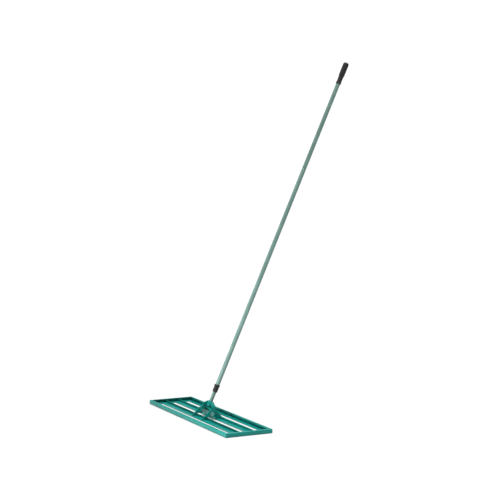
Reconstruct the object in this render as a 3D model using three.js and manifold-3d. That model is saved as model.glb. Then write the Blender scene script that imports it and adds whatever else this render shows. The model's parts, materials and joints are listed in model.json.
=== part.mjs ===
// A lawn leveling rake. Its flat grid head of folded steel sheet is dragged over the ground, and its long
// handle tilts on a bolt between two lugs, telescopes on a stub tube and is held by a twist lock.
// Millimetres, +Z up. The head lies along X, and the handle leans towards +Y.
import * as THREE from "three";
import { mergeVertices } from "three/addons/utils/BufferGeometryUtils.js";
import Module from "manifold-3d";

const wasm = await Module();
wasm.setup();

// Head: four mitred rails round two slats, all folded from sheet of one thickness
const headLength = 914;
const headDepth = 254;
const sheet = 2.5;
const bendInside = 1.5;
const railHeight = 21;
const railFlange = 33;
const railLip = 10;
const slatWidth = 34;
const slatHeight = 14;
const frontSlot = 28.5;
const middleSlot = 45;

// Lugs: two plates that stand on the slats and hold the pivot. They reach past the slats at both ends,
// and are set back from the middle between the slats.
const pivotAhead = 5;
const pivotZ = 30;
const lugPlate = 5;
const lugOutside = 122;
const lugReach = 8.5;
const lugSetBack = 9;
const lugTop = 47;
const lugCorner = 14;
const lugToe = 3;
const lugRearToe = 6.5;
const lugArchCorner = 6;
const lugArchInset = 3;

// Pivot hardware
const boltDiameter = 12;
const hexWall = 3.5;
const boltHead = 7.5;
const boltBeyondNut = 4;
const hexChamfer = 1.1;
const boltChamfer = 1.2;
const washerLip = 2.5;
const washerThickness = 2.5;
const washerChamfer = 0.4;
const nutHex = 9.5;
const nutCollar = 3.5;
const nutCollarWall = 1.4;
const nutInsert = 2.6;
const insertChamferShare = 1 / 6;
const frictionWasher = 1.4;
const frictionInset = 0.5;
const sleeveWall = 2.45;

// Yoke: a strap bent over the pivot, with an eye at each end
const strap = 5;
const strapWidth = 22;
const eyeWall = 7.7;
const yokeTop = 58.5;
const shoulderDrop = 18.5;
const strapBend = 6.5;
const socketWall = 3.2;
const socketBottom = 32;
const socketChamfer = 0.8;

// Handle: distances along it are measured from the pivot
const handleLean = 66;
const stubDiameter = 19;
const stubWall = 1.5;
const stubBottom = 34;
const stubTop = 330;
const poleWall = 1.2;
const telescopeGap = 0.55;
const poleSections = 3;
const plugHead = 12;
const plugSpigot = 18;
const plugChamfer = 1;

// Twist lock
const nutBottom = 109;
const nutTop = 141;
const lockNutWall = 0.9;
const nutChamfer = 1.2;
const ribHeight = 0.7;
const ribCount = 24;
const collar = 8;
const collarWall = 3.7;
const collarRound = 1;
const collarSocket = 6;
const fingerWall = 1.3;
const fingerLength = 25.5;
const fingerSolid = 7;
const fingerSlot = 1.6;
const fingerTaper = 0.6;
const fingerTaperLength = 4;

// Joints of the pole
const bushLength = 30;
const studLength = 24;
const studDiameter = 10;
const studPlug = 26;
const studChamfer = 1;

// Grip
const gripBottom = 1883;
const gripTop = 2009;
const gripWall = 1.45;
const gripSwell = 2.5;
const gripRingStep = 1.25;
const gripRingLength = 8;
const gripRingRound = 2;
const gripNeckLength = 34;
const gripShoulder = 7;
const gripDome = 7;
const gripCap = 10;
const fluteCount = 16;
const fluteDepth = 1.2;

// Fits and cuts
const gap = 0.3;
const boltFit = 0.3;
const slidingFit = 0.4;
const overrun = 5;

// Facets
const roundSides = 36;
const boreSides = 28;
const bendSteps = 3;
const holeSteps = 14;
const cornerSteps = 6;
const domeSteps = 5;
const flutePhases = 6;

// Worked out from the sizes above
const bendOutside = bendInside + sheet;
const frontSlatY = -headDepth / 2 + railFlange + frontSlot;
const rearSlatY = frontSlatY + slatWidth + middleSlot;
const restY = rearSlatY + (slatWidth - bendOutside) / 2;
const lugFoot = rearSlatY + slatWidth - frontSlatY + 2 * lugReach;
const lugMiddleY = (frontSlatY + rearSlatY + slatWidth) / 2 + lugSetBack;
const pivotY = lugMiddleY - pivotAhead;
const lugInside = lugOutside / 2 - lugPlate;
const legOutside = lugInside - frictionWasher - 2 * gap;
const legInside = legOutside - strap;
const boltHole = boltDiameter / 2 + boltFit;
const boltFlats = boltDiameter + 2 * hexWall;
const washerRadius = boltFlats / 2 + washerLip;
const sleeveRadius = boltHole + sleeveWall;
const eyeRadius = boltHole + eyeWall;
const frictionRadius = eyeRadius - frictionInset;
const nutCollarRadius = boltFlats / 2 - nutCollarWall / 2;
const nutPocketRadius = nutCollarRadius - nutCollarWall;
const socketBore = stubDiameter / 2 + gap;
const socketRadius = socketBore + socketWall;
const poleBore = stubDiameter / 2 + telescopeGap;
const poleRadius = poleBore + poleWall;
const poleSocket = poleRadius + gap;
const poleBottom = nutTop + collar - collarSocket + gap;
const poleTop = gripTop - gripCap - gap;
const poleSection = (poleTop - poleBottom) / poleSections;
const fingerBore = stubDiameter / 2 + gap;
const fingerRadius = fingerBore + fingerWall;
const lockNutBore = fingerRadius + gap;
const lockNutRoot = lockNutBore + lockNutWall;
const collarRadius = poleSocket + collarWall;
const neckRadius = poleSocket + gripWall;

const greenCoat = { color: 0x0d786c, roughness: 0.3, metalness: 0.1 };
const poleCoat = { color: 0x7a9a93, roughness: 0.4, metalness: 0.3 };
const zincPlate = { color: 0x9aa3a0, roughness: 0.35, metalness: 0.9 };
const brightSteel = { color: 0xb9bfbf, roughness: 0.25, metalness: 1 };
const blackPlastic = { color: 0x26292a, roughness: 0.55, metalness: 0 };
const paleNylon = { color: 0xd8dcd6, roughness: 0.5, metalness: 0 };

const xAxis = new THREE.Vector3(1, 0, 0);
const yAxis = new THREE.Vector3(0, 1, 0);
const zAxis = new THREE.Vector3(0, 0, 1);

// A closed surface as a solid that can be joined and cut.
function solidOf(geometry) {
  const bare = geometry.clone();
  bare.deleteAttribute("normal");
  bare.deleteAttribute("uv");
  const merged = mergeVertices(bare);
  const triVerts = new Uint32Array(merged.index.array);
  const vertProperties = merged.attributes.position.array;
  return new wasm.Manifold(new wasm.Mesh({ numProp: 3, vertProperties, triVerts }));
}

// A joined or cut solid as a geometry with flat faces.
function geometryOf(solid) {
  const mesh = solid.getMesh();
  const indexed = new THREE.BufferGeometry();
  indexed.setAttribute("position", new THREE.BufferAttribute(mesh.vertProperties, mesh.numProp));
  indexed.setIndex(new THREE.BufferAttribute(mesh.triVerts, 1));
  const flat = indexed.toNonIndexed();
  flat.computeVertexNormals();
  return flat;
}

// An outline drawn in (Y, Z), extruded from one X to another.
function alongX(outline, from, to, curveSegments = bendSteps) {
  const body = new THREE.ExtrudeGeometry(outline, { depth: to - from, bevelEnabled: false, curveSegments });
  body.translate(0, 0, from);
  return body.applyMatrix4(new THREE.Matrix4().makeBasis(yAxis, zAxis, xAxis));
}

// An outline drawn in (X, Z), extruded to a width centred on Y = 0.
function acrossY(outline, width) {
  const body = new THREE.ExtrudeGeometry(outline, { depth: width, bevelEnabled: false });
  body.translate(0, 0, -width / 2);
  return body.applyMatrix4(new THREE.Matrix4().makeBasis(xAxis, zAxis, yAxis.clone().negate()));
}

// An outline drawn in (X, Y), extruded from one Z to another.
function alongZ(outline, from, to) {
  const body = new THREE.ExtrudeGeometry(outline, { depth: to - from, bevelEnabled: false });
  return body.translate(0, 0, from);
}

// A profile of [radius, height] pairs turned about Z. It starts and ends on the axis or is closed here.
function turned(profile, sides = roundSides) {
  const points = profile.map(([radius, height]) => new THREE.Vector2(radius, height));
  if (profile[0][0] > 0) points.push(points[0].clone());
  return new THREE.LatheGeometry(points, sides).rotateX(Math.PI / 2);
}

// A plain round bar or cutter from one Z to another.
function rod(radius, from, to, sides = roundSides) {
  return turned([[0, from], [radius, from], [radius, to], [0, to]], sides);
}

// A plain tube from one Z to another.
function pipe(inner, outer, from, to, sides = roundSides) {
  return turned([[inner, from], [outer, from], [outer, to], [inner, to]], sides);
}

// Turns a body made along Z so that it lies along X.
function lyingAlongX(geometry) {
  return geometry.rotateY(Math.PI / 2);
}

function regularOutline(count, flats) {
  const corner = flats / 2 / Math.cos(Math.PI / count);
  const outline = new THREE.Shape();
  for (let i = 0; i < count; i++) {
    const angle = (i / count) * Math.PI * 2;
    const x = corner * Math.cos(angle);
    const y = corner * Math.sin(angle);
    if (i === 0) outline.moveTo(x, y);
    else outline.lineTo(x, y);
  }
  return outline;
}

// A round outline whose radius is a function of the angle.
function wavyOutline(steps, radiusAt) {
  const points = [];
  for (let i = 0; i < steps; i++) {
    const angle = (i / steps) * Math.PI * 2;
    const radius = radiusAt(angle);
    points.push(new THREE.Vector2(radius * Math.cos(angle), radius * Math.sin(angle)));
  }
  return new THREE.Shape(points);
}

function part(name, geometry, finish) {
  const mesh = new THREE.Mesh(geometry, new THREE.MeshStandardMaterial(finish));
  mesh.name = name;
  return mesh;
}

// Rail section, drawn as distance in from the outer wall against height: flange, wall and lip.
function railSection() {
  const upper = railHeight - bendOutside;
  const outline = new THREE.Shape();
  outline.moveTo(railFlange, 0);
  outline.lineTo(bendOutside, 0);
  outline.absarc(bendOutside, bendOutside, bendOutside, -Math.PI / 2, -Math.PI, true);
  outline.lineTo(0, upper);
  outline.absarc(bendOutside, upper, bendOutside, Math.PI, Math.PI / 2, true);
  outline.lineTo(railLip, railHeight);
  outline.lineTo(railLip, railHeight - sheet);
  outline.lineTo(bendOutside, railHeight - sheet);
  outline.absarc(bendOutside, upper, bendInside, Math.PI / 2, Math.PI, false);
  outline.lineTo(sheet, bendOutside);
  outline.absarc(bendOutside, bendOutside, bendInside, Math.PI, Math.PI * 1.5, false);
  outline.lineTo(railFlange, sheet);
  return outline;
}

// A rail along X whose outer wall stands at Y = -offset, with both ends mitred at 45 degrees.
function mitredRail(span, offset) {
  const rail = alongX(railSection(), -1, 1);
  const place = rail.attributes.position;
  for (let i = 0; i < place.count; i++) {
    const inset = place.getY(i);
    place.setX(i, place.getX(i) * (span / 2 - inset - gap / 2));
    place.setY(i, inset - offset);
  }
  rail.computeVertexNormals();
  return rail;
}

// Slat section, drawn from its front edge: a flat leg and an upright along the rear edge.
function slatSection() {
  const face = slatWidth - sheet;
  const bendAt = slatWidth - bendOutside;
  const outline = new THREE.Shape();
  outline.moveTo(0, 0);
  outline.lineTo(bendAt, 0);
  outline.absarc(bendAt, bendOutside, bendOutside, -Math.PI / 2, 0, false);
  outline.lineTo(slatWidth, slatHeight);
  outline.lineTo(face, slatHeight);
  outline.lineTo(face, bendOutside);
  outline.absarc(bendAt, bendOutside, bendInside, 0, -Math.PI / 2, true);
  outline.lineTo(0, sheet);
  return outline;
}

// What is coped off each end of a slat, so that the leg butts against the flange of the end rail and the
// upright runs on over that flange to its wall.
function slatCope() {
  const outline = new THREE.Shape();
  outline.moveTo(-overrun, -overrun);
  outline.lineTo(slatWidth + overrun, -overrun);
  outline.lineTo(slatWidth + overrun, sheet + gap);
  outline.lineTo(slatWidth - sheet, sheet + gap);
  outline.lineTo(slatWidth - sheet, slatHeight + overrun);
  outline.lineTo(-overrun, slatHeight + overrun);
  return outline;
}

function copedSlat() {
  const end = headLength / 2 - bendOutside - gap;
  const legEnd = headLength / 2 - railFlange - gap;
  const whole = solidOf(alongX(slatSection(), -end, end));
  const rightCope = solidOf(alongX(slatCope(), legEnd, end + overrun));
  const leftCope = solidOf(alongX(slatCope(), -end - overrun, -legEnd));
  return geometryOf(whole.subtract(rightCope).subtract(leftCope));
}

// Lug outline in (Y, Z): two feet on the slat legs, notched over the uprights, an arch over the middle
// slot, flanks at 45 degrees and a top with round corners.
function lugOutline() {
  const base = sheet + gap;
  const over = slatHeight + gap;
  const frontFace = frontSlatY + slatWidth - sheet;
  const rearFace = rearSlatY + slatWidth - sheet;
  const footClear = bendInside + gap;
  const archEnd = rearSlatY + lugArchInset;
  const half = lugFoot / 2;
  const front = lugMiddleY - half;
  const rear = lugMiddleY + half;
  const tangent = lugCorner * Math.tan(Math.PI / 8);
  const centreZ = lugTop - lugCorner;
  const rearCut = rearSlatY + slatWidth + gap;
  const outline = new THREE.Shape();
  outline.moveTo(front + base + lugToe, base);
  outline.lineTo(frontFace - footClear, base);
  outline.lineTo(frontFace - footClear, over);
  outline.lineTo(archEnd - lugArchCorner, over);
  outline.absarc(archEnd - lugArchCorner, over - lugArchCorner, lugArchCorner, Math.PI / 2, 0, true);
  outline.lineTo(archEnd, base);
  outline.lineTo(rearFace - footClear, base);
  outline.lineTo(rearFace - footClear, over);
  outline.lineTo(rearCut, over);
  outline.lineTo(rearCut, lugRearToe);
  outline.lineTo(rear - lugRearToe - lugToe, lugRearToe);
  outline.lineTo(rear - lugRearToe - lugToe, lugRearToe + lugToe);
  outline.absarc(rear - lugTop - tangent, centreZ, lugCorner, Math.PI / 4, Math.PI / 2, false);
  outline.absarc(front + lugTop + tangent, centreZ, lugCorner, Math.PI / 2, (Math.PI * 3) / 4, false);
  outline.lineTo(front + base + lugToe, base + lugToe);
  const hole = new THREE.Path();
  hole.absarc(pivotY, pivotZ, boltHole, 0, Math.PI * 2, true);
  outline.holes.push(hole);
  return outline;
}

function lug(side) {
  const inner = side * lugInside;
  const outer = side * (lugOutside / 2);
  return alongX(lugOutline(), Math.min(inner, outer), Math.max(inner, outer), holeSteps);
}

// A hexagon with its corners turned off at both ends, standing on Z = 0.
function hexagon(height) {
  const corner = boltFlats / 2 / Math.cos(Math.PI / 6);
  const reach = corner + gap;
  const rise = (hexChamfer + gap) * Math.tan(Math.PI / 6);
  const block = solidOf(alongZ(regularOutline(6, boltFlats), 0, height));
  const start = corner - hexChamfer;
  const turnedBlank = turned([
    [0, 0],
    [start, 0],
    [reach, rise],
    [reach, height - rise],
    [start, height],
    [0, height],
  ]);
  return block.intersect(solidOf(turnedBlank));
}

// The bolt lies along X with its head outside the right lug and its point beyond the nut on the left.
const washerSeat = lugOutside / 2 + gap;
const headSeat = washerSeat + washerThickness + gap;
const nutHeight = nutHex + nutCollar;

function bolt() {
  const point = -(headSeat + nutHeight + boltBeyondNut);
  const shank = turned([
    [0, point],
    [boltDiameter / 2 - boltChamfer, point],
    [boltDiameter / 2, point + boltChamfer],
    [boltDiameter / 2, headSeat + boltHead / 2],
    [0, headSeat + boltHead / 2],
  ]);
  const head = hexagon(boltHead).translate([0, 0, headSeat]);
  return lyingAlongX(geometryOf(head.add(solidOf(shank))));
}

function washer(inner, outer, thickness, chamfer) {
  return turned([
    [inner, 0],
    [outer - chamfer, 0],
    [outer, chamfer],
    [outer, thickness - chamfer],
    [outer - chamfer, thickness],
    [inner, thickness],
  ], boreSides);
}

// A self-locking nut: a hexagon and a round collar with a pocket for the nylon ring in its end.
function lockingNut() {
  const chamfer = nutCollarWall / 2;
  const round = turned([
    [0, nutHex / 2],
    [nutCollarRadius, nutHex / 2],
    [nutCollarRadius, nutHeight - chamfer],
    [nutCollarRadius - chamfer, nutHeight],
    [0, nutHeight],
  ]);
  const bore = rod(boltHole, -overrun, nutHeight + overrun, boreSides);
  const pocket = rod(nutPocketRadius, nutHeight - nutInsert - gap, nutHeight + overrun);
  const blank = hexagon(nutHex).add(solidOf(round));
  return geometryOf(blank.subtract(solidOf(bore)).subtract(solidOf(pocket)));
}

function nylonRing() {
  return washer(boltHole, nutPocketRadius - gap, nutInsert, nutInsert * insertChamferShare);
}

// The outline of a strap of even thickness whose middle line follows points with rounded bends.
function strapOutline(points, thickness, bendRadius) {
  const middle = [];
  points.forEach((point, i) => {
    if (i === 0 || i === points.length - 1) {
      middle.push(point);
      return;
    }
    const back = points[i - 1].clone().sub(point).normalize();
    const ahead = points[i + 1].clone().sub(point).normalize();
    const halfAngle = Math.acos(THREE.MathUtils.clamp(back.dot(ahead), -1, 1)) / 2;
    const reach = bendRadius / Math.tan(halfAngle);
    const inward = back.clone().add(ahead).normalize();
    const centre = point.clone().addScaledVector(inward, bendRadius / Math.sin(halfAngle));
    const start = point.clone().addScaledVector(back, reach).sub(centre);
    const sweep = (Math.PI - 2 * halfAngle) * Math.sign(ahead.cross(back));
    for (let step = 0; step <= cornerSteps; step++) {
      const turn = (sweep * step) / cornerSteps;
      middle.push(start.clone().rotateAround(new THREE.Vector2(), turn).add(centre));
    }
  });
  const sides = [[], []];
  middle.forEach((point, i) => {
    const before = middle[Math.max(i - 1, 0)];
    const after = middle[Math.min(i + 1, middle.length - 1)];
    const along = after.clone().sub(before).normalize();
    const across = new THREE.Vector2(-along.y, along.x).multiplyScalar(thickness / 2);
    sides[0].push(point.clone().add(across));
    sides[1].unshift(point.clone().sub(across));
  });
  return new THREE.Shape([...sides[0], ...sides[1]]);
}

// The yoke in the frame of the handle: a strap bent in (X, Z), cut to a narrow width with a round eye at
// the pivot, bored for the bolt and for the stub.
function yoke() {
  const legX = legInside + strap / 2;
  const top = yokeTop - strap / 2;
  const legEnd = -eyeRadius - overrun;
  const route = [
    [-legX, legEnd],
    [-legX, top - shoulderDrop],
    [-socketRadius, top],
    [socketRadius, top],
    [legX, top - shoulderDrop],
    [legX, legEnd],
  ].map(([x, z]) => new THREE.Vector2(x, z));
  const bent = solidOf(acrossY(strapOutline(route, strap, strapBend), 2 * eyeRadius + overrun));
  const half = strapWidth / 2;
  const join = Math.acos(half / eyeRadius);
  const blank = new THREE.Shape();
  blank.moveTo(half, yokeTop + overrun);
  blank.lineTo(half, eyeRadius * Math.sin(join));
  blank.absarc(0, 0, eyeRadius, join, -Math.PI - join, true);
  blank.lineTo(-half, yokeTop + overrun);
  const reach = legOutside + overrun;
  const cut = bent.intersect(solidOf(alongX(blank, -reach, reach, holeSteps)));
  const boltBore = lyingAlongX(rod(boltHole, -reach, reach, boreSides));
  const stubBore = rod(socketBore, top - overrun, yokeTop + overrun);
  return geometryOf(cut.subtract(solidOf(boltBore)).subtract(solidOf(stubBore)));
}

// The plug in the end of a tube: a head that fits outside it and a spigot that fits inside.
function guidePlug() {
  const spigot = stubDiameter / 2 - stubWall - gap;
  const head = poleBore - gap;
  const seat = stubTop + gap;
  return turned([
    [0, seat - plugSpigot],
    [spigot - plugChamfer, seat - plugSpigot],
    [spigot, seat - plugSpigot + plugChamfer],
    [spigot, seat],
    [head, seat],
    [head, seat + plugHead - plugChamfer],
    [head - plugChamfer, seat + plugHead],
    [0, seat + plugHead],
  ]);
}

// The lock body: a collar that the pole stands in, over collet fingers that grip the stub.
function lockBody() {
  const outer = collarRadius;
  const collarBottom = nutTop + gap;
  const collarTop = nutTop + collar;
  const tip = collarBottom - fingerLength;
  const solid = solidOf(turned([
    [fingerBore, tip],
    [fingerRadius - fingerTaper, tip],
    [fingerRadius, tip + fingerTaperLength],
    [fingerRadius, collarBottom],
    [outer - collarRound, collarBottom],
    [outer, collarBottom + collarRound],
    [outer, collarTop - collarRound],
    [outer - collarRound, collarTop],
    [poleSocket, collarTop],
    [poleSocket, collarTop - collarSocket],
    [fingerBore, collarTop - collarSocket],
  ]));
  const slotEnd = collarBottom - fingerSolid;
  const slot = new THREE.BoxGeometry(2 * outer, fingerSlot, slotEnd - tip + overrun);
  slot.translate(0, 0, (slotEnd + tip - overrun) / 2);
  const crossSlot = slot.clone().rotateZ(Math.PI / 2);
  return geometryOf(solid.subtract(solidOf(slot)).subtract(solidOf(crossSlot)));
}

// The lock nut: ribbed outside, with a bore that narrows over the tips of the fingers.
function lockNut() {
  const root = lockNutRoot;
  const radius = root + ribHeight;
  const bore = lockNutBore;
  const mouth = stubDiameter / 2 + slidingFit;
  const taperTop = nutTop + gap - fingerLength + fingerTaperLength;
  const taperBottom = taperTop - ((bore - mouth) * fingerTaperLength) / fingerTaper;
  const ribs = wavyOutline(ribCount * 4, (angle) => {
    const phase = ((angle * ribCount) / (Math.PI * 2) + 1 / 8) % 1;
    return phase < 0.5 ? radius : root;
  });
  const envelope = solidOf(turned([
    [mouth, nutBottom],
    [root - nutChamfer, nutBottom],
    [radius + gap, nutBottom + nutChamfer + ribHeight + gap],
    [radius + gap, nutTop - nutChamfer],
    [root, nutTop],
    [bore, nutTop],
    [bore, taperTop],
    [mouth, taperBottom],
  ]));
  return geometryOf(envelope.intersect(solidOf(alongZ(ribs, nutBottom - overrun, nutTop + overrun))));
}

function poleTube(index) {
  const from = poleBottom + index * poleSection;
  const end = index === poleSections - 1 ? poleTop : from + poleSection - gap;
  return pipe(poleBore, poleRadius, from, end);
}

// The female bush in the top of one section of the pole, level with its end.
function poleBush(joint) {
  const top = poleBottom + joint * poleSection - gap;
  return pipe(studDiameter / 2 + gap, poleBore - gap, top - bushLength, top, boreSides);
}

// The male stud in the bottom of the next section: a plug in the tube and a stud that stands out of it.
function poleStud(joint) {
  const bottom = poleBottom + joint * poleSection;
  return turned([
    [0, bottom - studLength],
    [studDiameter / 2 - studChamfer, bottom - studLength],
    [studDiameter / 2, bottom - studLength + studChamfer],
    [studDiameter / 2, bottom],
    [poleBore - gap, bottom],
    [poleBore - gap, bottom + studPlug],
    [0, bottom + studPlug],
  ], boreSides);
}

// The grip: a ring and a neck, then a thicker fluted part with a domed end, open below for the pole.
function grip() {
  const radius = neckRadius + gripSwell;
  const neckFrom = gripBottom + gripRingLength;
  const neckTo = neckFrom + gripNeckLength;
  const shoulderTo = neckTo + gripShoulder;
  const ring = neckRadius + gripRingStep;
  const profile = [
    [poleSocket, gripBottom],
    [ring - gripRingRound, gripBottom],
    [ring, gripBottom + gripRingRound],
    [ring, neckFrom - gripRingRound],
    [neckRadius, neckFrom],
    [neckRadius, neckTo],
  ];
  for (let step = 1; step <= domeSteps; step++) {
    const t = step / domeSteps;
    const swell = (1 - Math.cos(t * Math.PI)) / 2;
    profile.push([neckRadius + swell * gripSwell, neckTo + t * (shoulderTo - neckTo)]);
  }
  for (let step = 0; step <= domeSteps; step++) {
    const angle = (step / domeSteps) * (Math.PI / 2);
    const inset = gripDome * (1 - Math.cos(angle));
    profile.push([radius - inset, gripTop - gripDome + gripDome * Math.sin(angle)]);
  }
  profile.push([0, gripTop], [0, gripTop - gripCap], [poleSocket, gripTop - gripCap]);
  const envelope = solidOf(turned(profile, fluteCount * 3));
  const flutes = wavyOutline(fluteCount * flutePhases, (angle) => {
    const hollow = Math.max(0, Math.cos(angle * fluteCount));
    return radius + gap - (fluteDepth + gap) * hollow;
  });
  return geometryOf(envelope.intersect(solidOf(alongZ(flutes, gripBottom - overrun, gripTop + overrun))));
}

const rake = new THREE.Group();
const head = new THREE.Group();
const handle = new THREE.Group();
rake.add(head, handle);
rake.position.set(0, -restY, 0);

["front_rail", "right_end_rail", "rear_rail", "left_end_rail"].forEach((name, side) => {
  const alongHead = side % 2 === 0;
  const span = alongHead ? headLength : headDepth;
  const across = alongHead ? headDepth : headLength;
  const rail = part(name, mitredRail(span, across / 2), greenCoat);
  rail.rotation.z = (side * Math.PI) / 2;
  head.add(rail);
});

for (const [name, y] of [["front_slat", frontSlatY], ["rear_slat", rearSlatY]]) {
  const slat = part(name, copedSlat(), greenCoat);
  slat.position.y = y;
  head.add(slat);
}

head.add(part("left_lug", lug(-1), greenCoat));
head.add(part("right_lug", lug(1), greenCoat));

const pivot = new THREE.Group();
pivot.position.set(0, pivotY, pivotZ);
head.add(pivot);
pivot.add(part("pivot_bolt", bolt(), zincPlate));

const washerBody = lyingAlongX(washer(boltHole, washerRadius, washerThickness, washerChamfer));
const headWasher = part("head_washer", washerBody, zincPlate);
headWasher.position.x = washerSeat;
pivot.add(headWasher);

const farWasher = part("nut_washer", washerBody.clone(), zincPlate);
farWasher.position.x = -washerSeat - washerThickness;
pivot.add(farWasher);

const nut = part("pivot_nut", lyingAlongX(lockingNut()), zincPlate);
nut.rotation.z = Math.PI;
nut.position.x = -headSeat;
pivot.add(nut);

const insert = part("nut_insert", lyingAlongX(nylonRing()), paleNylon);
insert.position.x = -headSeat - nutHeight;
pivot.add(insert);

handle.position.set(0, pivotY, pivotZ);
handle.rotation.x = THREE.MathUtils.degToRad(handleLean - 90);

const sleeve = lyingAlongX(pipe(boltHole, sleeveRadius, gap - legInside, legInside - gap));
handle.add(part("pivot_sleeve", sleeve, brightSteel));

const frictionPlaces = [
  ["left_friction_washer", gap - lugInside],
  ["right_friction_washer", legOutside + gap],
];
for (const [name, x] of frictionPlaces) {
  const disc = lyingAlongX(pipe(boltHole, frictionRadius, 0, frictionWasher, boreSides));
  const frictionDisc = part(name, disc, blackPlastic);
  frictionDisc.position.x = x;
  handle.add(frictionDisc);
}

handle.add(part("fork_yoke", yoke(), greenCoat));

const socketTop = yokeTop - strap - gap;
handle.add(part("yoke_socket", turned([
  [socketBore, socketBottom],
  [socketRadius - socketChamfer, socketBottom],
  [socketRadius, socketBottom + socketChamfer],
  [socketRadius, socketTop],
  [socketBore, socketTop],
]), greenCoat));

const stub = pipe(stubDiameter / 2 - stubWall, stubDiameter / 2, stubBottom, stubTop);
handle.add(part("stub_tube", stub, poleCoat));
handle.add(part("stub_guide", guidePlug(), paleNylon));
handle.add(part("lock_body", lockBody(), blackPlastic));
handle.add(part("lock_nut", lockNut(), blackPlastic));

["pole_lower", "pole_middle", "pole_upper"].forEach((name, index) => {
  handle.add(part(name, poleTube(index), poleCoat));
});
for (let joint = 1; joint < poleSections; joint++) {
  handle.add(part("pole_bush_" + joint, poleBush(joint), zincPlate));
  handle.add(part("pole_stud_" + joint, poleStud(joint), zincPlate));
}
handle.add(part("grip", grip(), blackPlastic));

export default rake;
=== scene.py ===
import json
import math

import bmesh
import bpy
from mathutils import Matrix, Vector


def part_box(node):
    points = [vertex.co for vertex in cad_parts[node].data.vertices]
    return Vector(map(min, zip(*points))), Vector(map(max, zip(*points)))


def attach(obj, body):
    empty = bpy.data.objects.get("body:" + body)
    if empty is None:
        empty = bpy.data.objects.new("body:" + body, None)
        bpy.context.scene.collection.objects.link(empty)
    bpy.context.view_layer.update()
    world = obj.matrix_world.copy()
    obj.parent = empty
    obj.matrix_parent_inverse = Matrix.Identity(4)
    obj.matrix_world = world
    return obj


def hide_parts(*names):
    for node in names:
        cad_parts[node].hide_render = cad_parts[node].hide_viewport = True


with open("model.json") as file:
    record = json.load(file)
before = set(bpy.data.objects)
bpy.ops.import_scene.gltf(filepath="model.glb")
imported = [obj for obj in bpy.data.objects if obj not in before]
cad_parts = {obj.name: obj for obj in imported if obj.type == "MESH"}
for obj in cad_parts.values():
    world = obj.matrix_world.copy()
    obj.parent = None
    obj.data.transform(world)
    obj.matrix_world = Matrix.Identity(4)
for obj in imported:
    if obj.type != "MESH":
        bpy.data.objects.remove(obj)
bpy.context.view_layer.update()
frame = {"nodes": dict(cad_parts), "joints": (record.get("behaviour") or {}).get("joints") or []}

MM = 0.001
TURN = 2 * math.pi

# The pivot and the direction of the handle, read from the frame. Each turn takes a shape drawn along Z to
# an axis: the handle's, or the pivot's, where the shape leans with the handle or stands upright.
joints = {joint["name"]: joint for joint in frame["joints"]}
PIVOT = Vector(joints["head_pivot"]["pos_m"])
HANDLE = Vector(joints["pole_slide"]["axis"]).normalized()
ACROSS = Vector((1, 0, 0))
HANDLE_TURN = Matrix((ACROSS, HANDLE.cross(ACROSS), HANDLE)).transposed()
FORK_TURN = Matrix((HANDLE.cross(ACROSS), HANDLE, ACROSS)).transposed()
BOLT_TURN = Matrix(((0, 0, 1), (0, 1, 0), (-1, 0, 0)))


def node_points(node):
    return [vertex.co.copy() for vertex in frame["nodes"][node].data.vertices]


def span(node, axis):
    """Lowest and highest place of a node along an axis through the pivot, in millimetres."""
    places = [(point - PIVOT).dot(axis) / MM for point in node_points(node)]
    return round(min(places), 2), round(max(places), 2)


def reach(node, axis):
    """Largest distance of a node's points from an axis through the pivot, in millimetres."""
    offsets = [point - PIVOT for point in node_points(node)]
    return round(max((offset - axis * offset.dot(axis)).length for offset in offsets) / MM, 2)


# Materials. Noise scales are in cells per metre, and bump depths in metres.

# Sockets of a colour mix node
MIX_FACTOR = 0
MIX_FIRST = 6
MIX_SECOND = 7
MIX_RESULT = 2

# Most of a noise lies between these two values
NOISE_LOW = 0.3
NOISE_HIGH = 0.7


def add_node(tree, kind, **values):
    """A node with its properties set by name, and its inputs by name where no property has it."""
    node = tree.nodes.new(kind)
    for name, value in values.items():
        if hasattr(node, name):
            setattr(node, name, value)
        else:
            node.inputs[name.replace("_", " ")].default_value = value
    return node


def noise(tree, scale, detail=3.0, roughness=0.55, stretch=None):
    """A noise, drawn out along the handle by stretch."""
    place = add_node(tree, "ShaderNodeTexCoord").outputs["Object"]
    if stretch:
        mapping = add_node(tree, "ShaderNodeMapping", vector_type="TEXTURE")
        mapping.inputs["Rotation"].default_value = HANDLE_TURN.to_euler()
        mapping.inputs["Scale"].default_value = (1, 1, stretch)
        tree.links.new(place, mapping.inputs["Vector"])
        place = mapping.outputs["Vector"]
    node = add_node(tree, "ShaderNodeTexNoise", Scale=scale, Detail=detail)
    node.inputs["Roughness"].default_value = roughness
    tree.links.new(place, node.inputs["Vector"])
    return node.outputs["Fac"]


def between(tree, value, low, high):
    """Maps a noise to a range."""
    node = add_node(tree, "ShaderNodeMapRange")
    node.inputs["From Min"].default_value = NOISE_LOW
    node.inputs["From Max"].default_value = NOISE_HIGH
    node.inputs["To Min"].default_value = low
    node.inputs["To Max"].default_value = high
    tree.links.new(value, node.inputs["Value"])
    return node.outputs["Result"]


def two_tone(tree, value, low, high):
    """A colour that a noise moves from low to high."""
    node = add_node(tree, "ShaderNodeMix", data_type="RGBA")
    node.inputs[MIX_FIRST].default_value = low
    node.inputs[MIX_SECOND].default_value = high
    tree.links.new(between(tree, value, 0, 1), node.inputs[MIX_FACTOR])
    return node.outputs[MIX_RESULT]


def multiplied(tree, tone, shade, strength):
    """A tone darkened by a shade, with the given strength."""
    node = add_node(tree, "ShaderNodeMix", data_type="RGBA", blend_type="MULTIPLY")
    node.inputs[MIX_FACTOR].default_value = strength
    tree.links.new(tone, node.inputs[MIX_FIRST])
    tree.links.new(shade, node.inputs[MIX_SECOND])
    return node.outputs[MIX_RESULT]


def set_colour(tree, shader, colour):
    tree.links.new(colour, shader.inputs["Base Color"])


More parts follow.
